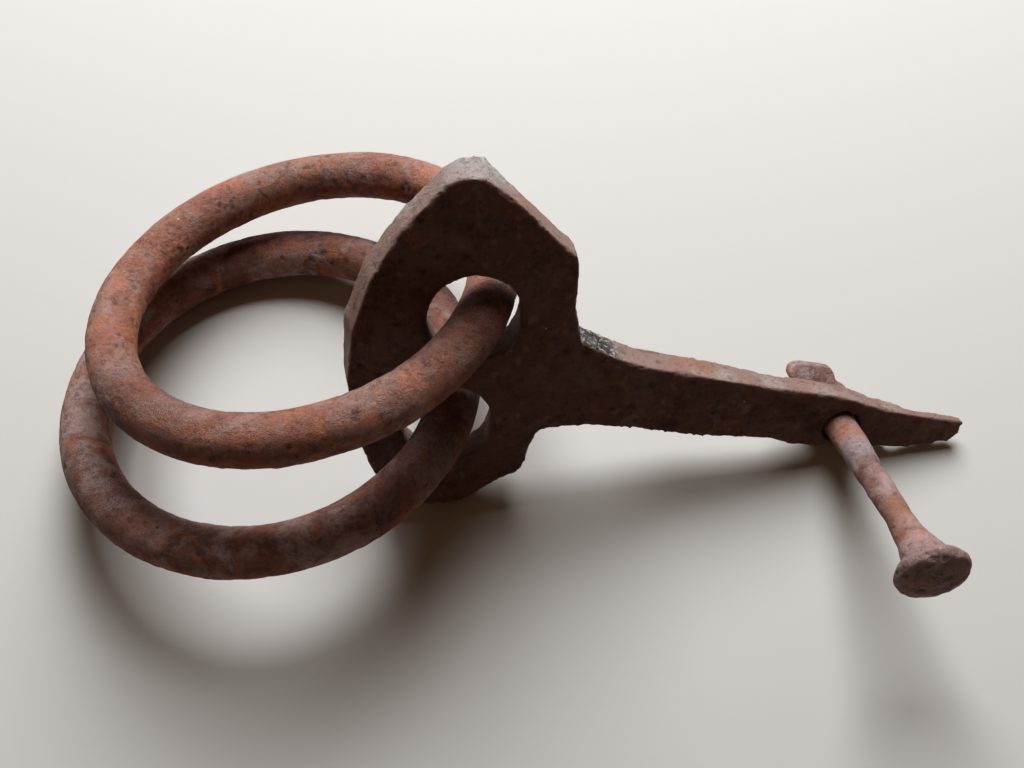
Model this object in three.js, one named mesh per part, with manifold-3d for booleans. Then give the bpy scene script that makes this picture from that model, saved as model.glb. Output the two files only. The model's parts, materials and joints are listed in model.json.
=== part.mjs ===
// A blacksmith-forged hitching plate with two rings: an axe-shaped head whose long tapering shank was
// nailed to a timber, two round rings threaded through two round holes in the head, and the one nail that
// is still in the shank, with its tail clenched over on the back.
//
// Units are millimetres and +Z is up. The object lies as it does on a table: the plate stands on its lower
// edge and leans back against the lower ring, and the upper ring lies over the lower one.
// +X runs along the shank towards its tip, and the plate's front face looks towards -Y.
// The origin is at the bottom centre of the whole object.

import * as THREE from 'three';
import { mergeVertices } from 'three/addons/utils/BufferGeometryUtils.js';
import Module from 'manifold-3d';

const wasm = await Module();
wasm.setup();

// ---------------------------------------------------------------- driving dimensions
// The plate's own frame has its origin midway between the ring holes on the front face, x along the
// shank, y across the plate and z out of the front face.
const HEAD_THICKNESS = 9.5;
const HEAD_ARC_RADIUS = 75;
const HEAD_ARC_Y = 5;
const HEAD_BACK = -29.4;
const SHANK_TIP = 146.4;

// Hammering has spread the back of the arc outwards, most at this height and less away from it.
const SPREAD = 2.2;
const SPREAD_Y = 12;
const SPREAD_REACH = 22;

// The shank thins at the back towards its tip.
const SHANK_THICKNESS = [
  { x: 62, thickness: HEAD_THICKNESS },
  { x: 88, thickness: 7.4 },
  { x: 112, thickness: 6.6 },
  { x: SHANK_TIP, thickness: 2.6 },
];

const HOLE_RADIUS = 12.1;
const UPPER_HOLE = { x: 0.4, y: 16 };
const LOWER_HOLE = { x: -0.2, y: -17.5 };

const RING_RADIUS = 52;
const RING_BAR_RADIUS = 7;

const NAIL_HOLE = { x: 110.2, y: -4.4 };
const NAIL_HOLE_RADIUS = 5.4;
const NAIL_TILT = 1;
const NAIL_ROOT_RADIUS = 4.5;
const NAIL_WAIST_RADIUS = 3.6;
const NAIL_HEAD_RADIUS = 9.6;
const NAIL_HEAD_SEAT = 55.5;
const NAIL_HEAD_HEIGHT = 6;
const NAIL_HEAD_TILT = 10;
const TAIL_DEPTH = 7.9;
const TAIL_THICKNESS = 4.2;
const TAIL_END_THICKNESS = 6.4;

// How the plate stands: turned a little about the vertical, leaning back, and dipping towards its tip.
const PLATE_YAW = 8.4;
const PLATE_LEAN_BACK = 28.2;
const PLATE_DIP = 16.9;
const PLATE_AT = new THREE.Vector3(-13, -17.2, 42.7);

const UPPER_RING_AT = new THREE.Vector3(-56.3, 7.6, 40.2);
const UPPER_RING_TILT = { x: -18, y: -8.6 };
const LOWER_RING_AT = new THREE.Vector3(-67.1, -10, 17.9);
const LOWER_RING_TILT = { x: -11.8, y: -5 };

const HOLE_SIDES = 32;
const BAR_SIDES = 14;
const RING_SIDES = 56;
const CURVE_STEPS = 3;
const CUT_MARGIN = 5;

const radians = THREE.MathUtils.degToRad;
const point = (x, y) => new THREE.Vector2(x, y);

// The head's outer edge is one arc, from its low end to its high end.
const ARC_CENTRE = point(HEAD_BACK + HEAD_ARC_RADIUS, HEAD_ARC_Y);
const ARC_LOW_END = pointOnArc(-35.6);
const ARC_HIGH_END = pointOnArc(50.6);

function pointOnArc(y) {
  return point(ARC_CENTRE.x - Math.sqrt(HEAD_ARC_RADIUS ** 2 - (y - HEAD_ARC_Y) ** 2), y);
}

function arcAngle(onArc) {
  return Math.atan2(onArc.y - ARC_CENTRE.y, onArc.x - ARC_CENTRE.x);
}

// ---------------------------------------------------------------- solids
function toSolid(geometry) {
  const plain = geometry.index ? geometry.toNonIndexed() : geometry.clone();
  plain.deleteAttribute('normal');
  plain.deleteAttribute('uv');
  const merged = mergeVertices(plain);
  return new wasm.Manifold(new wasm.Mesh({
    numProp: 3,
    vertProperties: merged.attributes.position.array,
    triVerts: new Uint32Array(merged.index.array),
  }));
}

function toGeometry(solid) {
  const mesh = solid.getMesh();
  const geometry = new THREE.BufferGeometry();
  geometry.setAttribute('position', new THREE.BufferAttribute(mesh.vertProperties, 3));
  geometry.setIndex(new THREE.BufferAttribute(mesh.triVerts, 1));
  geometry.computeVertexNormals();
  return geometry;
}

// A round cutter through the plate, along the plate's z.
function drill(hole, radius) {
  const length = HEAD_THICKNESS + 2 * CUT_MARGIN;
  const cutter = new THREE.CylinderGeometry(radius, radius, length, HOLE_SIDES);
  cutter.rotateX(Math.PI / 2);
  cutter.translate(hole.x, hole.y, -HEAD_THICKNESS / 2);
  return toSolid(cutter);
}

// ---------------------------------------------------------------- head plate and shank
// The outline runs clockwise from the inner corner where the shank leaves the head.
function plateOutline() {
  const outline = new THREE.Shape();
  outline.moveTo(29.2, 13);
  outline.splineThru([
    point(35, 11.2), point(46, 8.2), point(63, 7.2), point(87, 6), point(105, 5.8),
    point(120, 3.4), point(134, 2.4), point(SHANK_TIP, 2.2),
  ]);
  outline.lineTo(SHANK_TIP, -2.4);
  outline.lineTo(144.8, -4.9);
  outline.splineThru([point(134, -8.4), point(121, -9.9), point(106, -11.7), point(97, -12)]);
  outline.lineTo(90.6, -10.8);
  outline.splineThru([point(81, -11.6), point(68, -12.6), point(47, -12.4), point(33, -13.8), point(24.8, -15.9)]);
  outline.lineTo(23.6, -21);
  outline.lineTo(23.7, -28);
  outline.lineTo(22.2, -31.3);
  outline.lineTo(17.8, -34);
  outline.lineTo(9.4, -42.7);
  outline.quadraticCurveTo(3, -46.4, -4, -45.6);
  outline.quadraticCurveTo(-12, -44, ARC_LOW_END.x, ARC_LOW_END.y);
  outline.absarc(ARC_CENTRE.x, ARC_CENTRE.y, HEAD_ARC_RADIUS, arcAngle(ARC_LOW_END), arcAngle(ARC_HIGH_END), true);
  outline.lineTo(-10.8, 52.9);
  outline.lineTo(-4.8, 53.7);
  outline.lineTo(4.1, 49);
  outline.lineTo(10, 45);
  outline.lineTo(16.2, 40.5);
  outline.lineTo(22, 37);
  outline.lineTo(23.3, 32.4);
  outline.lineTo(25.2, 22.5);
  return outline;
}

// The plate seen along its y: the front face is flat and the back draws in towards the tip.
function plateSideProfile() {
  const profile = new THREE.Shape();
  profile.moveTo(SHANK_TIP, 0);
  profile.lineTo(HEAD_BACK - CUT_MARGIN, 0);
  profile.lineTo(HEAD_BACK - CUT_MARGIN, -HEAD_THICKNESS);
  for (const { x, thickness } of SHANK_THICKNESS) {
    profile.lineTo(x, -thickness);
  }
  return profile;
}

function spreadArcBack(geometry) {
  const at = geometry.attributes.position;
  for (let i = 0; i < at.count; i += 1) {
    const clearOfHoles = at.getX(i) < UPPER_HOLE.x - HOLE_RADIUS - 1;
    if (clearOfHoles && at.getZ(i) < -HEAD_THICKNESS / 2) {
      const away = (at.getY(i) - SPREAD_Y) / SPREAD_REACH;
      at.setX(i, at.getX(i) - SPREAD * Math.exp(-away * away));
    }
  }
  geometry.computeVertexNormals();
  return geometry;
}

function headPlateGeometry() {
  const face = new THREE.ExtrudeGeometry(plateOutline(), {
    depth: HEAD_THICKNESS + 2 * CUT_MARGIN, bevelEnabled: false, curveSegments: CURVE_STEPS,
  });
  face.translate(0, 0, -HEAD_THICKNESS - CUT_MARGIN);
  const acrossPlate = 2 * (HEAD_ARC_RADIUS + CUT_MARGIN);
  const side = new THREE.ExtrudeGeometry(plateSideProfile(), { depth: acrossPlate, bevelEnabled: false });
  side.rotateX(Math.PI / 2);
  side.translate(0, acrossPlate / 2, 0);
  const solid = toSolid(face).intersect(toSolid(side))
    .subtract(drill(UPPER_HOLE, HOLE_RADIUS))
    .subtract(drill(LOWER_HOLE, HOLE_RADIUS))
    .subtract(drill(NAIL_HOLE, NAIL_HOLE_RADIUS));
  return spreadArcBack(toGeometry(solid));
}

// ---------------------------------------------------------------- nail
// The nail's own frame has z along its shaft, out of the plate's front face.
function turned(profile) {
  const solid = new THREE.LatheGeometry(profile, 20);
  solid.rotateX(Math.PI / 2);
  return solid;
}

function nailShaft() {
  return toSolid(turned([
    point(0, -TAIL_DEPTH - TAIL_THICKNESS / 2),
    point(NAIL_ROOT_RADIUS - 0.4, -TAIL_DEPTH - TAIL_THICKNESS / 2),
    point(NAIL_ROOT_RADIUS, -HEAD_THICKNESS / 2),
    point(NAIL_ROOT_RADIUS, 6),
    point(NAIL_WAIST_RADIUS + 0.3, 20),
    point(NAIL_WAIST_RADIUS, 38),
    point(NAIL_WAIST_RADIUS + 0.7, 47),
    point(NAIL_WAIST_RADIUS + 2.2, 52),
    point(NAIL_WAIST_RADIUS + 3.4, NAIL_HEAD_SEAT),
    point(NAIL_WAIST_RADIUS, NAIL_HEAD_SEAT + 1.5),
    point(0, NAIL_HEAD_SEAT + 1.5),
  ]));
}

// The head is a low mushroom, hammered a little askew on the shaft.
function nailHead() {
  const head = turned([
    point(0, -1),
    point(NAIL_HEAD_RADIUS - 3.6, -1),
    point(NAIL_HEAD_RADIUS - 1.2, 0),
    point(NAIL_HEAD_RADIUS, 2),
    point(NAIL_HEAD_RADIUS - 0.5, 3.6),
    point(NAIL_HEAD_RADIUS - 4, NAIL_HEAD_HEIGHT - 0.8),
    point(0, NAIL_HEAD_HEIGHT),
  ]);
  head.rotateX(radians(NAIL_HEAD_TILT));
  head.translate(0, 0, NAIL_HEAD_SEAT);
  return toSolid(head);
}

function hammeredFlat(outline, thickness) {
  const slab = new THREE.ExtrudeGeometry(outline, {
    depth: thickness, bevelEnabled: false, curveSegments: CURVE_STEPS,
  });
  slab.translate(0, 0, -TAIL_DEPTH - thickness);
  return toSolid(slab);
}

// The tail is hammered over behind the shank, and its thick end shows above the shank's upper edge.
function nailTail() {
  const web = new THREE.Shape();
  web.moveTo(8.4, -2.6);
  web.quadraticCurveTo(9, 4, 2, 7.5);
  web.lineTo(-6, 10.5);
  web.lineTo(-13, 9);
  web.quadraticCurveTo(-10, 1, -4.6, -3.2);
  web.quadraticCurveTo(2, -6.2, 8.4, -2.6);
  const end = new THREE.Shape();
  end.moveTo(-3.6, 7.4);
  end.quadraticCurveTo(-1.4, 8.4, -1.7, 10);
  end.quadraticCurveTo(-2.2, 12, -5, 12);
  end.lineTo(-12.6, 12.2);
  end.quadraticCurveTo(-16, 12, -16.2, 9.6);
  end.quadraticCurveTo(-16, 7.2, -12.6, 7);
  return hammeredFlat(web, TAIL_THICKNESS).add(hammeredFlat(end, TAIL_END_THICKNESS));
}

// ---------------------------------------------------------------- assembly
const rustyIron = (color) => new THREE.MeshStandardMaterial({ color, roughness: 0.85, metalness: 0.3 });

function part(name, geometry, color) {
  const mesh = new THREE.Mesh(geometry, rustyIron(color));
  mesh.name = name;
  return mesh;
}

function ring(name, at, tilt, color) {
  const mesh = part(name, new THREE.TorusGeometry(RING_RADIUS, RING_BAR_RADIUS, BAR_SIDES, RING_SIDES), color);
  mesh.rotation.set(radians(tilt.x), radians(tilt.y), 0);
  mesh.position.copy(at);
  return mesh;
}

const plateFrame = new THREE.Group();
plateFrame.rotation.z = radians(-PLATE_DIP);
plateFrame.add(part('head_plate', headPlateGeometry(), 0x4a342c));

const nail = part('nail', toGeometry(nailShaft().add(nailHead()).add(nailTail())), 0x6a4c42);
nail.position.set(NAIL_HOLE.x, NAIL_HOLE.y, 0);
nail.rotation.set(radians(-NAIL_TILT), radians(NAIL_TILT), 0);
plateFrame.add(nail);

const leaning = new THREE.Group();
leaning.rotation.x = radians(90 - PLATE_LEAN_BACK);
leaning.add(plateFrame);

const standing = new THREE.Group();
standing.rotation.z = radians(PLATE_YAW);
standing.position.copy(PLATE_AT);
standing.add(leaning);

const layout = new THREE.Group();
layout.add(standing);
layout.add(ring('upper_ring', UPPER_RING_AT, UPPER_RING_TILT, 0x7a4f3c));
layout.add(ring('lower_ring', LOWER_RING_AT, LOWER_RING_TILT, 0x6e4636));

// Move the bottom centre of everything to the origin.
layout.updateMatrixWorld(true);
const box = new THREE.Box3().setFromObject(layout, true);
const middle = box.getCenter(new THREE.Vector3());
layout.position.set(-middle.x, -middle.y, -box.min.z);

const object = new THREE.Group();
object.add(layout);

export default object;
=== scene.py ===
"""Looks of a rusty forged hitching plate: the plate with its shank, two loose rings and one clenched nail.

The CAD frame gives every place and size. Each piece is a finer, worn version of its CAD node: the plate
and the nail are remeshed copies, the rings are built new, and all of them get hammer marks, pits and
worn edges as real geometry. Lengths are in millimetres where a name says so, and Blender's are metres.
"""

import itertools
import json
import math

import bpy
import numpy as np
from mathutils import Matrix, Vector


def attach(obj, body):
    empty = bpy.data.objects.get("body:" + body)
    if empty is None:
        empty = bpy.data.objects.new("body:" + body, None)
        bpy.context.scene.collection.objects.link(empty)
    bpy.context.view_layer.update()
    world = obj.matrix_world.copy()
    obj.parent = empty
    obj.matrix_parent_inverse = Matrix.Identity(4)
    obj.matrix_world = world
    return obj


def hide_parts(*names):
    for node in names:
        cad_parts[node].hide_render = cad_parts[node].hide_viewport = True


MM = 0.001

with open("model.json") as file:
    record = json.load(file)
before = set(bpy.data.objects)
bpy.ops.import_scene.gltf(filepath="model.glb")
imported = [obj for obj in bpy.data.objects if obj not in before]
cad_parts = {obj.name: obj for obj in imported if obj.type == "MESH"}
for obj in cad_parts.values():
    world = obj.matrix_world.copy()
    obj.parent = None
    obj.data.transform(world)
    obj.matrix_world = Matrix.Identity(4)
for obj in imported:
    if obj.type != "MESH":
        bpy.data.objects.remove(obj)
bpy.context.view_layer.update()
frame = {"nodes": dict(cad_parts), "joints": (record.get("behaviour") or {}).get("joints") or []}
joints = {joint["name"]: joint for joint in frame["joints"]}

# ---------------------------------------------------------------- stage values
CAMERA_PITCH = 64.142
CAMERA_LENS = 40.62
CAMERA_SENSOR = 36
CAMERA_NEAREST = 0.01
CAMERA_AT_MM = (-1.56, -144.45, 308.74)

KEY_ELEVATION = 47
KEY_AZIMUTH = 0
KEY_DISTANCE = 0.95
KEY_SIZE = 0.66
KEY_POWER = 13.2
KEY_COLOR = (0.98, 1.0, 1.02)
AMBIENT_COLOR = (1.0, 0.62, 0.32)
AMBIENT_STRENGTH = 0.075
FLOOR_SIZE = 6.0
FLOOR_DROP_MM = 0.2
FLOOR_COLOR = (0.58, 0.565, 0.545)
FLOOR_ROUGHNESS = 0.9
FLOOR_SPECULAR = 0.2

# ---------------------------------------------------------------- mesh values
PLATE_VOXEL = 0.55 * MM
NAIL_VOXEL = 0.4 * MM
RING_STEPS = 680
BAR_STEPS = 84

PLATE_SEED = 11
NAIL_SEED = 41

# How many times each piece's edges are rounded, and how far a vertex goes to its neighbours' mean each time.
PLATE_ROUNDING = 2
NAIL_ROUNDING = 4
TAIL_ROUNDING = 30
ROUNDING_SHARE = 0.5

# What counts as an edge: rounds of averaging, then how many millimetres it stands out, at least and in full.
PLATE_EDGE = (8, 0.05, 0.32)
NAIL_EDGE = (10, 0.03, 0.3)

# Relief. Each set of dents is a count, a range of radii and a range of depths, in millimetres.
PLATE_RELIEF = {
    "hammer": (110, (7, 14), (0.05, 0.16)), "craters": (120, (0.9, 1.9), (0.12, 0.5)),
    "specks": (700, (0.55, 1.0), (0.05, 0.18)), "crust_mm": 0.05,
}
RING_RELIEF = {
    "hammer": (60, (5, 10), (0.04, 0.14)), "craters": (300, (0.8, 1.6), (0.1, 0.4)),
    "specks": (2400, (0.5, 0.9), (0.05, 0.18)), "crust_mm": 0.13,
}
NAIL_RELIEF = {
    "hammer": (70, (2.2, 5), (0.06, 0.28)), "craters": (60, (0.6, 1.1), (0.05, 0.18)),
    "specks": (400, (0.4, 0.7), (0.04, 0.12)), "crust_mm": 0.07,
}
NAIL_HEAD_DENTS = (40, (0.9, 2.0), (0.15, 0.5))
CLUSTER_SIZE_MM = 12
CLUSTER_PULL = 1.6

# The crust's lumps, each a size in millimetres and a weight.
CRUST_LUMPS = ((2.6, 1.0), (1.5, 0.7), (0.9, 0.4))
SWELL_SIZE_MM = 11
SWELL_MM = 0.1
ROUGH_PATCH_MM = 14

# Places on the plate, along its shank and across it, from the middle between the ring holes.
SLAG_AT_MM = (33.5, 13)
SLAG_REACH_MM = 10
BUBBLE_SIZES_MM = (1.8, 3.1)
BUBBLE_MM = 0.35
CHIP_SIZES_MM = (1.7, 4)
CHIP_MM = 0.5
STAIN_SIZE_MM = 16
SCRAPE_SIZE_MM = 7
TIP_STEP_MM = (126.3, 127.8, 142)
TIP_STEP_SHARE = 0.34
APEX_AT_MM = (-7.2, 54.4)
APEX_BURR_MM = 1.8
APEX_REACH_MM = 6.5
APEX_BARE_REACH_MM = 8

# Where the rings are painted dark as shade, in front of the plate's middle plane, where the plate's shadow
# falls on them.
PLATE_SHADOW_AT_MM = 8
PLATE_SHADOW_REACH_MM = 13
PLATE_SHADOW_PATCH_MM = 7
PLATE_SHADOW_DARKNESS = 1.6
RING_STAIN_SIZE_MM = 13

# The rings' bar: the loss in drawing it out, waves round the ring as (count, depth, phase), and the weld.
DRAW_LOSS = 0.02
DRAW_WAVES = ((3, 0.015, 1), (7, 0.008, 2))
BAR_SHRINK = 0.012
FLAT_DRIFT = 0.4
WELD_REACH = 0.16
WELD_SWELL = 0.02
SCARF_SLANT = 0.09
SCARF_WIDTH_MM = 0.7
SCARF_DEPTH_MM = 0.35

# Places along the nail, from its root at the plate's front face to its head. A band is a place and a width.
ROOT_BAND_MM = (6.5, 2.2)
BLUE_BAND_MM = (13, 5)
TAN_BAND_MM = (44, 9)
HEAD_FROM_MM = 53
HEAD_FADE_MM = 3
HEAD_CHIP_SIZES_MM = (2.3, 1.2)
HEAD_CHIP_MM = 0.6
NOTCH_AT_MM = 9.5
NOTCH_OFF_AXIS_MM = 4.6
NOTCH_MM = (2.6, 1.0)
NOTCH_CROSSWISE = (0.29, 0.36, -0.89)

# The nail's tail, behind the plate. FROM and BACK are places along the nail, SLOPE and LOW are heights
# over and under its middle, and KEEP is a distance from its axis.
TAIL_FROM_MM = -7.4
TAIL_BACK_MM = -14.4
TAIL_KEEP_MM = 7
TAIL_SLOPE_MM = (7, 12.5)
TAIL_LEAN_MM = 4.6
TAIL_LOW_MM = 3
TAIL_SPREAD_SHARE = 0.28

# ---------------------------------------------------------------- rust values
# Sizes of the colour patches in millimetres, from the broadest to the finest.
SHADE_MM = 24
BROAD_MM = 17
PATCH_MM = 9
BLOTCH_MM = 6
MOTTLE_MM = 3.6
GLASS_MM = 1.5
GRAIN_MM = 1.3
FINE_MM = 0.35
BUMP_MM = 0.85
FLECK_SPACING_MM = 13
FLECK_COLOR = (0.62, 0.58, 0.55)
# The slag's dark pores, and its pale specks, which are painted glints.
SLAG_DARK = (0.02, 0.015, 0.014)
SLAG_PAINTED_GLINT = (0.5, 0.47, 0.46)
SHEEN = 0.02
SHEEN_ROUGHNESS = 0.45
SHEEN_TINT = (1.0, 0.9, 0.86)

PLATE_RUST = {
    "base": (0.2, 0.085, 0.055), "mauve": (0.22, 0.125, 0.1), "orange": (0.38, 0.15, 0.07),
    "dark": (0.06, 0.026, 0.019), "dust_wear_and_highlight": (0.42, 0.3, 0.265), "bare": (0.5, 0.48, 0.47),
    "mauve_share": 0.4, "orange_share": 0.05, "dust_and_top_light_share": 0.1,
}
UPPER_RING_RUST = {
    "base": (0.31, 0.1, 0.058), "mauve": (0.37, 0.225, 0.195), "orange": (0.51, 0.19, 0.088),
    "dark": (0.085, 0.034, 0.026), "dust_wear_and_highlight": (0.5, 0.33, 0.275), "bare": (0.5, 0.48, 0.47),
    "mauve_share": 0.45, "orange_share": 0.45, "dust_and_top_light_share": 0.35,
}
LOWER_RING_RUST = {
    "base": (0.3, 0.105, 0.066), "mauve": (0.47, 0.34, 0.32), "orange": (0.46, 0.18, 0.09),
    "dark": (0.085, 0.036, 0.028), "dust_wear_and_highlight": (0.45, 0.3, 0.26), "bare": (0.5, 0.48, 0.47),
    "mauve_share": 0.55, "orange_share": 0.3, "dust_and_top_light_share": 0.35,
}
NAIL_RUST = {
    "base": (0.32, 0.16, 0.125), "mauve": (0.47, 0.34, 0.33), "orange": (0.52, 0.19, 0.08),
    "dark": (0.08, 0.035, 0.027), "dust_wear_and_highlight": (0.42, 0.29, 0.26), "bare": (0.38, 0.34, 0.36),
    "mauve_share": 0.8, "orange_share": 0.15, "dust_and_top_light_share": 0.35,
}


# ---------------------------------------------------------------- repeatable noise
def lattice_value(cells, seed):
    """One repeatable number from -1 to 1 for each whole-number lattice corner."""
    mixed = cells[:, 0] * 73856093 ^ cells[:, 1] * 19349663 ^ cells[:, 2] * 83492791 ^ (seed * 7919 + 101)
    mixed = (mixed ^ (mixed >> 13)) * 1274126177 & 0x7FFFFFFF
    mixed = mixed ^ (mixed >> 15)
    return (mixed & 0xFFFF) / 32767.5 - 1


def noise(points, size_mm, seed):
    """Smooth noise from -1 to 1 at each point, with lumps about size_mm across."""
    scaled = points / (size_mm * MM)
    corner = np.floor(scaled)
    part = scaled - corner
    ease = part * part * (3 - 2 * part)
    corner = corner.astype(np.int64)
    total = np.zeros(len(points))
    for step in itertools.product((0, 1), repeat=3):
        weight = np.prod(np.where(np.array(step), ease, 1 - ease), axis=1)
        total += weight * lattice_value(corner + np.array(step), seed)
    return total


def smooth_step(low, high, values):
    """0 below low, 1 above high, and a smooth rise between."""
    part = np.clip((values - low) / (high - low), 0, 1)
    return part * part * (3 - 2 * part)


def bell(gap):
    """1 where the gap is 0, fading to nearly nothing at a gap of 2."""
    return np.exp(-gap ** 2)


# ---------------------------------------------------------------- mesh helpers
def coordinates(mesh):
    """Every vertex's place, one row each."""
    co = np.zeros(len(mesh.vertices) * 3, np.float32)
    mesh.vertices.foreach_get("co", co)
    return co.reshape(-1, 3).astype(float)


def set_coordinates(mesh, co):
    mesh.vertices.foreach_set("co", co.astype(np.float32).ravel())
    mesh.update()


def vertex_normals(mesh):
    normals = np.zeros(len(mesh.vertices) * 3, np.float32)
    mesh.vertices.foreach_get("normal", normals)
    return normals.reshape(-1, 3).astype(float)


def sink(mesh, co, depth):
    """Sets the vertices at co, pushed in along their normals by a depth each."""
    set_coordinates(mesh, co - vertex_normals(mesh) * depth[:, None])


def neighbour_mean(mesh, values):
    """Each vertex's mean over the vertices that it shares an edge with."""
    ends = np.zeros(len(mesh.edges) * 2, np.int32)
    mesh.edges.foreach_get("vertices", ends)
    first, second = ends[0::2], ends[1::2]
    total = np.zeros_like(values)
    count = np.zeros(len(values))
    np.add.at(total, first, values[second])
    np.add.at(total, second, values[first])
    np.add.at(count, first, 1)
    np.add.at(count, second, 1)
    return total / count[:, None]


def store(mesh, name, values):
    """Keeps one number a vertex for the materials to read."""
    layer = mesh.attributes.new(name, "FLOAT", "POINT")
    layer.data.foreach_set("value", values.astype(np.float32))


def coat(mesh, **layers):
    """Keeps the masks of the rust's extra layers, 0 all over where a piece doesn't have one."""
    for name in ("wear", "slag", "stain", "bare"):
        store(mesh, name, layers.get(name, np.zeros(len(mesh.vertices))))


def new_object(name, data):
    piece = bpy.data.objects.new(name, data)
    bpy.context.scene.collection.objects.link(piece)
    return piece


def fine_copy(name, node, voxel):
    """A dense, evenly meshed copy of a CAD node, as a new object."""
    piece = new_object(name, frame["nodes"][node].data.copy())
    piece.data.materials.clear()
    remesh = piece.modifiers.new("remesh", "REMESH")
    remesh.mode = "VOXEL"
    remesh.voxel_size = voxel
    depsgraph = bpy.context.evaluated_depsgraph_get()
    dense = bpy.data.meshes.new_from_object(piece.evaluated_get(depsgraph))
    piece.modifiers.clear()
    old = piece.data
    piece.data = dense
    dense.name = name
    bpy.data.meshes.remove(old)
    return piece


def relax(mesh, rounds, share=1.0):
    """Wears sharp edges round, by a share of the full amount for each vertex or for all."""
    co = coordinates(mesh)
    for _ in range(rounds):
        co += (neighbour_mean(mesh, co) - co) * (ROUNDING_SHARE * share)
    set_coordinates(mesh, co)


def edge_sharpness(mesh, rounds, low_mm, high_mm):
    """0 on flat stretches, up to 1 on outer edges, from how far a vertex stands out of its surroundings."""
    co = coordinates(mesh)
    spread = co
    for _ in range(rounds):
        spread = neighbour_mean(mesh, spread)
    standing_out = ((co - spread) * vertex_normals(mesh)).sum(axis=1)
    return smooth_step(low_mm * MM, high_mm * MM, standing_out)


def dents(co, places, radii, depths):
    """The depth of a set of round dents at each vertex, and 0 to 1 for how far inside a dent it is."""
    depth = np.zeros(len(co))
    inside = np.zeros(len(co))
    for place, radius, deep in zip(places, radii, depths):
        near = np.flatnonzero(np.abs(co - place).max(axis=1) < radius)
        gap = np.linalg.norm(co[near] - place, axis=1) / radius
        bowl = np.clip(1 - gap * gap, 0, 1) ** 2
        depth[near] = np.maximum(depth[near], bowl * deep)
        inside[near] = np.maximum(inside[near], bowl)
    return depth, inside


def scatter(rng, co, count, radius_mm, depth_mm, seed):
    """Random dents on a surface, in loose clusters: their places, radii and depths."""
    places = co[rng.integers(0, len(co), 3 * count)]
    pull = CLUSTER_PULL * noise(places, CLUSTER_SIZE_MM, seed)
    order = np.argsort(rng.uniform(-1, 1, len(places)) - pull)
    places = places[order[:count]]
    radii = rng.uniform(*radius_mm, count) * MM
    depths = rng.uniform(*depth_mm, count) * MM
    return places, radii, depths


def weather(mesh, seed, hammer, craters, specks, crust_mm, painted_shade=0.0):
    """Hammer marks, rust pits and crust as real relief, and the values that the rust material reads."""
    rng = np.random.default_rng(seed)
    co = coordinates(mesh)
    # Up-facing tops at rest: dust, and a painted highlight where the light falls from above.
    store(mesh, "dust_and_top_light", smooth_step(0.15, 0.95, vertex_normals(mesh)[:, 2]))
    marks, _ = dents(co, *scatter(rng, co, *hammer, seed))
    holes, in_hole = dents(co, *scatter(rng, co, *craters, seed + 6))
    spots, in_spot = dents(co, *scatter(rng, co, *specks, seed + 7))
    swell = noise(co, SWELL_SIZE_MM, seed + 1) * SWELL_MM * MM
    lumps = sum(weight * noise(co, size, seed + 2 + i) for i, (size, weight) in enumerate(CRUST_LUMPS))
    rough = smooth_step(-0.5, 0.6, noise(co, ROUGH_PATCH_MM, seed + 5)) * 0.7 + 0.3
    crust = lumps * rough * crust_mm * MM
    sink(mesh, co, marks + holes + spots - swell - crust)
    # The pits' mask, with painted shade added to it where a piece asks for it.
    store(mesh, "pit_and_painted_shade", np.clip(in_hole + 0.7 * in_spot + painted_shade, 0, 1))
    store(mesh, "raised", smooth_step(0.1, 1.3, lumps))


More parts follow.
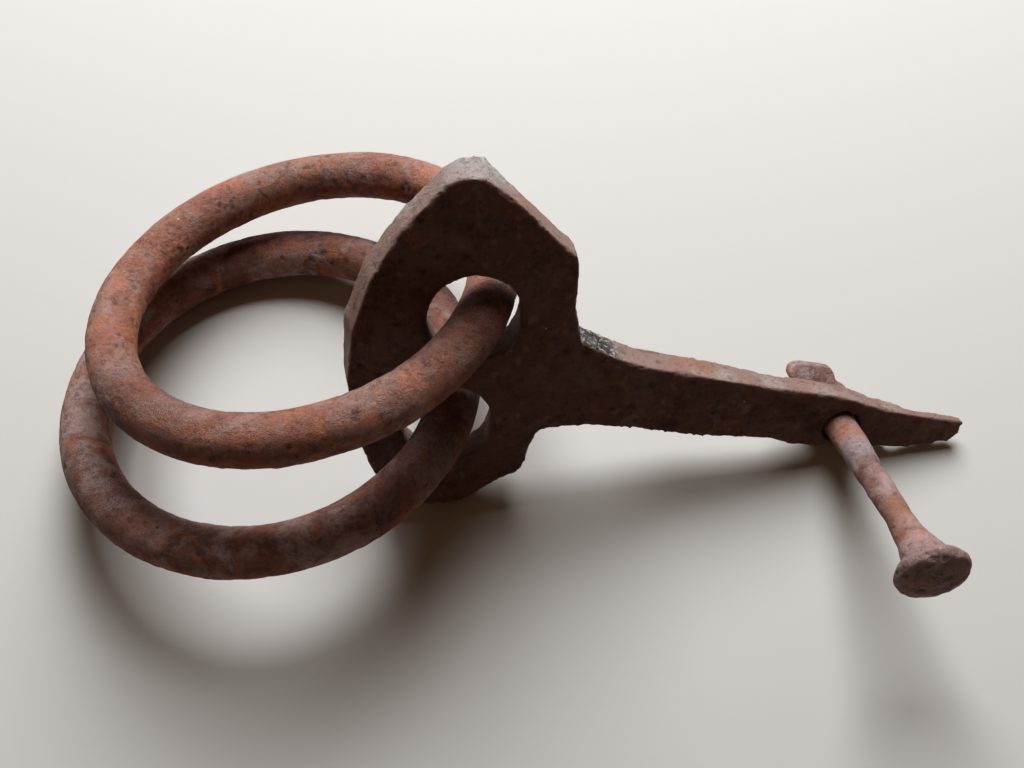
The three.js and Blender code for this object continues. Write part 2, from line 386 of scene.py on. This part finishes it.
# ---------------------------------------------------------------- node graphs
class Graph:
    """A material's nodes, written as formulas."""

    def __init__(self, name):
        self.material = bpy.data.materials.new(name)
        self.material.use_nodes = True
        self.tree = self.material.node_tree
        self.tree.nodes.clear()
        self.place = self.node("ShaderNodeTexCoord").outputs["Object"]

    def node(self, kind, inputs=None, **settings):
        made = self.tree.nodes.new(kind)
        for key, value in settings.items():
            setattr(made, key, value)
        for key, value in (inputs or {}).items():
            self.feed(made.inputs[key], value)
        return made

    def feed(self, socket, value):
        """Links a socket's value, or sets a plain number or colour."""
        if isinstance(value, bpy.types.NodeSocket):
            self.tree.links.new(value, socket)
        elif socket.type == "RGBA":
            socket.default_value = (*value, 1)
        else:
            socket.default_value = value

    def noise(self, size_mm, detail, roughness, distortion=0.0):
        made = self.node("ShaderNodeTexNoise", {
            "Vector": self.place, "Scale": 1 / (size_mm * MM), "Detail": detail,
            "Roughness": roughness, "Distortion": distortion,
        })
        return made.outputs["Fac"]

    def cells(self, size_mm):
        """The distance to the nearest of a set of scattered points, in spacings."""
        made = self.node("ShaderNodeTexVoronoi", {"Vector": self.place, "Scale": 1 / (size_mm * MM)})
        return made.outputs["Distance"]

    def attribute(self, name):
        return self.node("ShaderNodeAttribute", attribute_name=name).outputs["Fac"]

    def ramp(self, value, low, high, to_low=0.0, to_high=1.0):
        """Turns low to high into to_low to to_high, smoothly."""
        made = self.node("ShaderNodeMapRange", {
            "Value": value, "From Min": low, "From Max": high, "To Min": to_low, "To Max": to_high,
        }, interpolation_type="SMOOTHSTEP")
        return made.outputs["Result"]

    def math(self, operation, first, second):
        return self.node("ShaderNodeMath", {0: first, 1: second}, operation=operation).outputs[0]

    def times(self, first, second):
        return self.math("MULTIPLY", first, second)

    def blend(self, share, first, second):
        """The first colour, with the second over it by its share."""
        made = self.node("ShaderNodeMix", {0: share, 6: first, 7: second}, data_type="RGBA")
        return made.outputs[2]

    def finish(self, color, roughness, height):
        bump = self.node("ShaderNodeBump", {"Height": height, "Distance": BUMP_MM * MM, "Strength": 1.0})
        shader = self.node("ShaderNodeBsdfPrincipled", {
            "Base Color": color, "Roughness": roughness, "Normal": bump.outputs["Normal"],
            "Sheen Weight": SHEEN, "Sheen Roughness": SHEEN_ROUGHNESS, "Sheen Tint": SHEEN_TINT,
        })
        output = self.node("ShaderNodeOutputMaterial")
        self.tree.links.new(shader.outputs["BSDF"], output.inputs["Surface"])
        return self.material


def rust(name, base, mauve, orange, dark, dust_wear_and_highlight, bare, mauve_share, orange_share, dust_and_top_light_share):
    """Layered rust: a base colour under mauve-grey and orange patches, dust with a painted highlight on
    tops, worn edges with a painted highlight on the plate's rims, dark pits with painted shade, and slag
    with painted glints.
    """
    graph = Graph(name)
    shade = graph.noise(SHADE_MM, 5, 0.65, 0.8)
    broad = graph.noise(BROAD_MM, 5, 0.6, 0.6)
    patch = graph.noise(PATCH_MM, 6, 0.7, 1.0)
    blotch = graph.noise(BLOTCH_MM, 5, 0.75, 1.5)
    mottle = graph.noise(MOTTLE_MM, 6, 0.75)
    grain = graph.noise(GRAIN_MM, 6, 0.8)
    fine = graph.noise(FINE_MM, 3, 0.8)
    glass = graph.noise(GLASS_MM, 4, 0.7)
    slag = graph.attribute("slag")
    mauve_from = 0.6 - 0.2 * mauve_share
    orange_from = 0.62 - 0.2 * orange_share

    color = graph.blend(graph.ramp(mottle, 0.3, 0.5, 0.35, 1.0), dark, base)
    # The layers over that, from the lowest up: how far each one covers what is under it, and its colour.
    layers = (
        (graph.times(graph.ramp(shade, 0.5, 0.6), graph.ramp(mottle, 0.35, 0.6, 0.8, 0.3)), dark),
        (graph.times(graph.ramp(broad, mauve_from - 0.05, mauve_from + 0.07),
                     graph.ramp(mottle, 0.38, 0.56, 0.3, 0.95)), mauve),
        (graph.times(graph.ramp(patch, orange_from - 0.04, orange_from + 0.06),
                     graph.ramp(grain, 0.4, 0.56, 0.2, 0.9)), orange),
        # Dust, with a painted highlight on the up-facing tops.
        (graph.times(graph.times(graph.attribute("dust_and_top_light"), graph.ramp(patch, 0.4, 0.56, 1.0, 0.4)),
                     dust_and_top_light_share), dust_wear_and_highlight),
        # Worn edges, and a painted highlight on the plate's rims.
        (graph.ramp(graph.attribute("wear"), 0.1, 0.9, 0.0, 0.6), dust_wear_and_highlight),
        (graph.times(graph.attribute("stain"), graph.ramp(mottle, 0.4, 0.55, 0.3, 1.0)), orange),
        (graph.times(graph.attribute("bare"), graph.ramp(grain, 0.38, 0.52, 0.35, 1.0)), bare),
        (graph.ramp(graph.attribute("raised"), 0.3, 1.0, 0.0, 0.3), dust_wear_and_highlight),
        (graph.ramp(grain, 0.34, 0.44, 0.6, 0.0), dark),
        # Pits, with painted shade on the rings near the plate and on the nail's head.
        (graph.times(graph.attribute("pit_and_painted_shade"), graph.ramp(fine, 0.4, 0.6, 0.15, 0.75)), dark),
        (graph.times(graph.ramp(blotch, 0.56, 0.66), graph.ramp(grain, 0.4, 0.6, 0.2, 0.75)), dark),
        (graph.ramp(graph.cells(FLECK_SPACING_MM), 0.022, 0.032, 0.7, 0.0), FLECK_COLOR),
        # Slag: dark pores, with pale specks that are painted glints.
        (slag, graph.blend(graph.ramp(glass, 0.5, 0.6), SLAG_DARK, SLAG_PAINTED_GLINT)),
    )
    for share, layer in layers:
        color = graph.blend(share, color, layer)

    roughness = graph.math("SUBTRACT", graph.ramp(grain, 0.35, 0.65, 0.6, 0.85), graph.times(slag, 0.45))
    height = graph.math("ADD", grain, graph.times(fine, 0.3))
    height = graph.math("ADD", height, graph.times(mottle, 0.6))
    return graph.finish(color, roughness, height)


# ---------------------------------------------------------------- plate
def plate_axes():
    """The plate's own middle and its directions along the shank, across it and out of its front face."""
    upper = np.array(joints["upper_ring_swing"]["pos_m"])
    lower = np.array(joints["lower_ring_swing"]["pos_m"])
    out = np.array(joints["upper_ring_swing"]["axis"])
    across = upper - lower
    across -= out * across.dot(out)
    across /= np.linalg.norm(across)
    along = np.cross(across, out)
    return (upper + lower) / 2, np.array([along, across, out])


def gap_on_plate(place, at_mm, reach_mm):
    """The distance from a place on the plate's face, in reaches."""
    return np.linalg.norm(place[:, :2] - np.array(at_mm) * MM, axis=1) / (reach_mm * MM)


def step_tip(place, front):
    """Thins the shank at the back from a sudden step near its tip."""
    start, end, fade = (at * MM for at in TIP_STEP_MM)
    along, out = place[:, 0], place[:, 2]
    thinner = TIP_STEP_SHARE * smooth_step(start, end, along) * (1 - smooth_step(end, fade, along))
    return out + (front - out) * thinner


def burr(place, front, back):
    """How far the back edge of the head's peak is pushed up, in metres."""
    behind = (front - place[:, 2]) / (front - back)
    return bell(gap_on_plate(place, APEX_AT_MM, APEX_REACH_MM)) * behind * APEX_BURR_MM * MM


def make_plate():
    """The plate and its shank: thinned tip, burred peak, chipped edges and a glassy patch of slag."""
    piece = fine_copy("forged_plate", "head_plate", PLATE_VOXEL)
    mesh = piece.data
    middle, axes = plate_axes()
    place = (coordinates(mesh) - middle) @ axes.T
    front = place[:, 2].max()
    place[:, 2] = step_tip(place, front)
    place[:, 1] += burr(place, front, place[:, 2].min())
    set_coordinates(mesh, middle + place @ axes)
    relax(mesh, PLATE_ROUNDING)

    sharp = edge_sharpness(mesh, *PLATE_EDGE)
    co = coordinates(mesh)
    small, large = (noise(co, size, PLATE_SEED + 60 + i) for i, size in enumerate(CHIP_SIZES_MM))
    chips = np.maximum(small + 0.6 * large + 0.1, 0)
    rim = 1 - smooth_step(0.45, 0.8, np.abs(vertex_normals(mesh) @ axes[2]))
    slag = (1 - smooth_step(0.35, 1.0, gap_on_plate(place, SLAG_AT_MM, SLAG_REACH_MM))) * rim
    small, large = (noise(co, size, PLATE_SEED + 62 + i) for i, size in enumerate(BUBBLE_SIZES_MM))
    bubbles = (small + large) * slag * BUBBLE_MM * MM
    sink(mesh, co, chips * sharp * CHIP_MM * MM + np.maximum(bubbles, 0))
    weather(mesh, PLATE_SEED, **PLATE_RELIEF)

    at_apex = bell(gap_on_plate(place, APEX_AT_MM, APEX_BARE_REACH_MM))
    scraped = smooth_step(-0.1, 0.6, noise(co, SCRAPE_SIZE_MM, PLATE_SEED + 65))
    # A painted highlight on the rim faces, and pale wear on the sharp edges.
    coat(mesh, wear=np.maximum(rim * 0.75, sharp * 0.5), slag=slag,
         stain=rim * smooth_step(0.0, 0.8, noise(co, STAIN_SIZE_MM, PLATE_SEED + 64)) * 0.6,
         bare=rim * (0.65 * at_apex + 0.4 * scraped))
    mesh.shade_smooth()
    mesh.materials.append(rust("plate_rust", **PLATE_RUST))
    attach(piece, "plate")
    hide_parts("head_plate")


# ---------------------------------------------------------------- rings
def ring_shape(node):
    """Centre, axis, radius and bar radius of a ring, measured on its CAD node."""
    co = coordinates(frame["nodes"][node].data)
    box_centre = (co.min(axis=0) + co.max(axis=0)) / 2
    _, directions = np.linalg.eigh(np.cov((co - box_centre).T))
    axis = directions[:, 0] * np.sign(directions[2, 0])
    centre = np.unique(np.round(co, 7), axis=0).mean(axis=0)
    height = (co - centre) @ axis
    reach = np.linalg.norm((co - centre) - height[:, None] * axis, axis=1)
    return centre, axis, (reach.max() + reach.min()) / 2, (reach.max() - reach.min()) / 2


def bar_radius(turn, roll, radius, bar, seed, squareness, weld_turn):
    """The bar's radius all over a ring: a little square, drawn uneven, thick and creased at its weld."""
    section = 1 - squareness * (1 - np.abs(np.cos(2 * (roll + FLAT_DRIFT * np.sin(turn)))))
    drawn = 1 - DRAW_LOSS
    for waves, depth, phase in DRAW_WAVES:
        drawn = drawn + depth * np.sin(waves * turn + phase * seed)
    from_weld = (turn - weld_turn + math.pi) % (2 * math.pi) - math.pi
    thick = bar * (section * drawn - BAR_SHRINK + WELD_SWELL * bell(from_weld / WELD_REACH))
    from_scarf = (turn - weld_turn - SCARF_SLANT * np.sin(roll)) * radius / (SCARF_WIDTH_MM * MM)
    return thick - bell(from_scarf) * SCARF_DEPTH_MM * MM


def ring_faces():
    """Four-sided faces all over a ring's grid of vertices."""
    index = np.arange(RING_STEPS * BAR_STEPS).reshape(RING_STEPS, BAR_STEPS)
    ahead = np.roll(index, -1, axis=0)
    corners = [index, ahead, np.roll(ahead, -1, axis=1), np.roll(index, -1, axis=1)]
    return np.stack(corners, axis=-1).reshape(-1, 4)


def make_ring(name, node, body, seed, material, squareness, weld_turn):
    """One forged ring, built new in its CAD node's place and size."""
    centre, axis, radius, bar = ring_shape(node)
    side = np.cross(axis, (0, 1, 0))
    side /= np.linalg.norm(side)
    ahead = np.cross(axis, side)
    turn = np.repeat(np.arange(RING_STEPS) / RING_STEPS * 2 * math.pi, BAR_STEPS)
    roll = np.tile(np.arange(BAR_STEPS) / BAR_STEPS * 2 * math.pi, RING_STEPS)
    spoke = np.cos(turn)[:, None] * side + np.sin(turn)[:, None] * ahead
    thick = bar_radius(turn, roll, radius, bar, seed, squareness, weld_turn)
    co = centre + spoke * (radius + thick * np.cos(roll))[:, None] + axis * (thick * np.sin(roll))[:, None]
    mesh = bpy.data.meshes.new(name)
    mesh.from_pydata(co.tolist(), [], ring_faces().tolist())
    mesh.update()

    # The rings are painted darker in front of the plate, unevenly in patches: painted shade standing in for
    # the plate's shadow on them.
    middle, axes = plate_axes()
    from_plate_mm = (co - middle) @ axes[2] / MM
    uneven = 0.75 + 0.5 * noise(co, PLATE_SHADOW_PATCH_MM, seed + 9)
    painted_plate_shadow = bell((from_plate_mm - PLATE_SHADOW_AT_MM) / PLATE_SHADOW_REACH_MM) * uneven
    weather(mesh, seed, **RING_RELIEF, painted_shade=PLATE_SHADOW_DARKNESS * painted_plate_shadow)
    flank = bell((vertex_normals(mesh)[:, 2] - 0.1) / 0.4)
    streaks = noise(coordinates(mesh), RING_STAIN_SIZE_MM, seed + 8)
    coat(mesh, stain=flank * smooth_step(-0.2, 0.7, streaks) * 0.7)
    mesh.shade_smooth()
    mesh.materials.append(material)
    piece = new_object(name, mesh)
    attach(piece, body)
    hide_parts(node)


# ---------------------------------------------------------------- nail
def band(out, place_mm):
    """1 at a place along the nail, fading to 0 over a width."""
    at, width = place_mm
    return bell((out - at) / width)


def notch_dent(root, axis):
    """One deep notch in the nail's left side, near its root."""
    side = np.cross(axis, NOTCH_CROSSWISE)
    radius, depth = NOTCH_MM
    place = root + (axis * NOTCH_AT_MM - side / np.linalg.norm(side) * NOTCH_OFF_AXIS_MM) * MM
    return [place], [radius * MM], [depth * MM]


def shape_tail(mesh, root):
    """Leans the tail's thick end back into a low wedge, and spreads its lower part over the nail hole."""
    _, axes = plate_axes()
    place = (coordinates(mesh) - root) @ axes.T / MM
    behind = place[:, 2] < TAIL_FROM_MM
    up = smooth_step(*TAIL_SLOPE_MM, place[:, 1]) * behind
    low = smooth_step(0, TAIL_LOW_MM, -place[:, 1]) * behind
    place[:, :2] *= (1 + TAIL_SPREAD_SHARE * low)[:, None]
    forward = np.clip((place[:, 2] - TAIL_BACK_MM) / (TAIL_FROM_MM - TAIL_BACK_MM), 0, 1)
    place[:, 2] -= up * TAIL_LEAN_MM * forward
    set_coordinates(mesh, root + place @ axes * MM)


def round_tail(mesh, root, axis, out):
    """Wears the tail round, apart from what closes the hole."""
    aside = np.linalg.norm(coordinates(mesh) - root - out[:, None] * MM * axis, axis=1) / MM
    outer = smooth_step(0, 2, TAIL_FROM_MM - out) * smooth_step(0, 2, aside - TAIL_KEEP_MM)
    relax(mesh, TAIL_ROUNDING, outer[:, None])


def make_nail():
    """The nail: its bent tail behind the plate, its notched root and its battered head."""
    piece = fine_copy("forged_nail", "nail", NAIL_VOXEL)
    mesh = piece.data
    relax(mesh, NAIL_ROUNDING)
    root = np.array(joints["nail_turn"]["pos_m"])
    axis = np.array(joints["nail_turn"]["axis"])
    out = (coordinates(mesh) - root) @ axis / MM
    shape_tail(mesh, root)
    round_tail(mesh, root, axis, out)

    wear = edge_sharpness(mesh, *NAIL_EDGE)
    in_head = smooth_step(HEAD_FROM_MM, HEAD_FROM_MM + HEAD_FADE_MM, out)
    co = coordinates(mesh)
    rng = np.random.default_rng(NAIL_SEED + 2)
    head = co[out > HEAD_FROM_MM]
    bites, _ = dents(co, *scatter(rng, head, *NAIL_HEAD_DENTS, NAIL_SEED + 3))
    notch, _ = dents(co, *notch_dent(root, axis))
    large, small = (noise(co, size, NAIL_SEED + 4 + i) for i, size in enumerate(HEAD_CHIP_SIZES_MM))
    chips = np.maximum(large + 0.5 * small, 0)
    sink(mesh, co, bites + notch + chips * wear * in_head * HEAD_CHIP_MM * MM)
    # The head is painted darker as shade: painted shade is added to its pits layer, and its edges are kept
    # less pale.
    weather(mesh, NAIL_SEED, **NAIL_RELIEF, painted_shade=0.5 * in_head)
    coat(mesh, wear=wear * (1 - 0.6 * in_head), bare=0.7 * band(out, BLUE_BAND_MM),
         stain=0.9 * band(out, ROOT_BAND_MM) + 0.25 * band(out, TAN_BAND_MM))
    mesh.shade_smooth()
    mesh.materials.append(rust("nail_rust", **NAIL_RUST))
    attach(piece, "nail")
    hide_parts("nail")


# ---------------------------------------------------------------- stage
def make_camera():
    """The photo's view: from the front, looking down."""
    camera = new_object("camera", bpy.data.cameras.new("camera"))
    camera.location = Vector(CAMERA_AT_MM) * MM
    camera.rotation_euler = (math.radians(90 - CAMERA_PITCH), 0, 0)
    camera.data.sensor_width = CAMERA_SENSOR
    camera.data.lens = CAMERA_LENS
    camera.data.clip_start = CAMERA_NEAREST
    bpy.context.scene.camera = camera


def make_floor():
    """A wide pale card under the piece."""
    half = FLOOR_SIZE / 2
    corners = [(-half, -half, 0), (half, -half, 0), (half, half, 0), (-half, half, 0)]
    mesh = bpy.data.meshes.new("floor")
    mesh.from_pydata(corners, [], [(0, 1, 2, 3)])
    floor = new_object("floor", mesh)
    floor.location.z = -FLOOR_DROP_MM * MM
    material = bpy.data.materials.new("floor_card")
    material.use_nodes = True
    shader = material.node_tree.nodes["Principled BSDF"]
    shader.inputs["Base Color"].default_value = (*FLOOR_COLOR, 1)
    shader.inputs["Roughness"].default_value = FLOOR_ROUGHNESS
    shader.inputs["Specular IOR Level"].default_value = FLOOR_SPECULAR
    mesh.materials.append(material)


def make_key_light():
    """One round soft light, high behind the piece."""
    elevation = math.radians(KEY_ELEVATION)
    azimuth = math.radians(KEY_AZIMUTH)
    towards = Vector((
        math.sin(azimuth) * math.cos(elevation),
        math.cos(azimuth) * math.cos(elevation),
        math.sin(elevation),
    ))
    light = bpy.data.lights.new("key", "AREA")
    light.shape = "DISK"
    light.size = KEY_SIZE
    light.energy = KEY_POWER
    light.color = KEY_COLOR
    key = new_object("key", light)
    key.location = towards * KEY_DISTANCE
    key.rotation_euler = towards.to_track_quat("Z", "Y").to_euler()


def make_surroundings():
    """A dim warm light from all around, and the picture's contrast."""
    world = bpy.data.worlds.new("studio")
    world.use_nodes = True
    background = world.node_tree.nodes["Background"]
    background.inputs["Color"].default_value = (*AMBIENT_COLOR, 1)
    background.inputs["Strength"].default_value = AMBIENT_STRENGTH
    bpy.context.scene.world = world
    bpy.context.scene.view_settings.view_transform = "Standard"
    bpy.context.scene.view_settings.look = "Medium High Contrast"


# ---------------------------------------------------------------- everything
make_camera()
make_floor()
make_key_light()
make_surroundings()
make_plate()
make_ring("forged_upper_ring", "upper_ring", "upper_ring", seed=23,
          material=rust("upper_ring_rust", **UPPER_RING_RUST), squareness=0.015, weld_turn=2.2)
make_ring("forged_lower_ring", "lower_ring", "lower_ring", seed=37,
          material=rust("lower_ring_rust", **LOWER_RING_RUST), squareness=0.035, weld_turn=3.9)
make_nail()
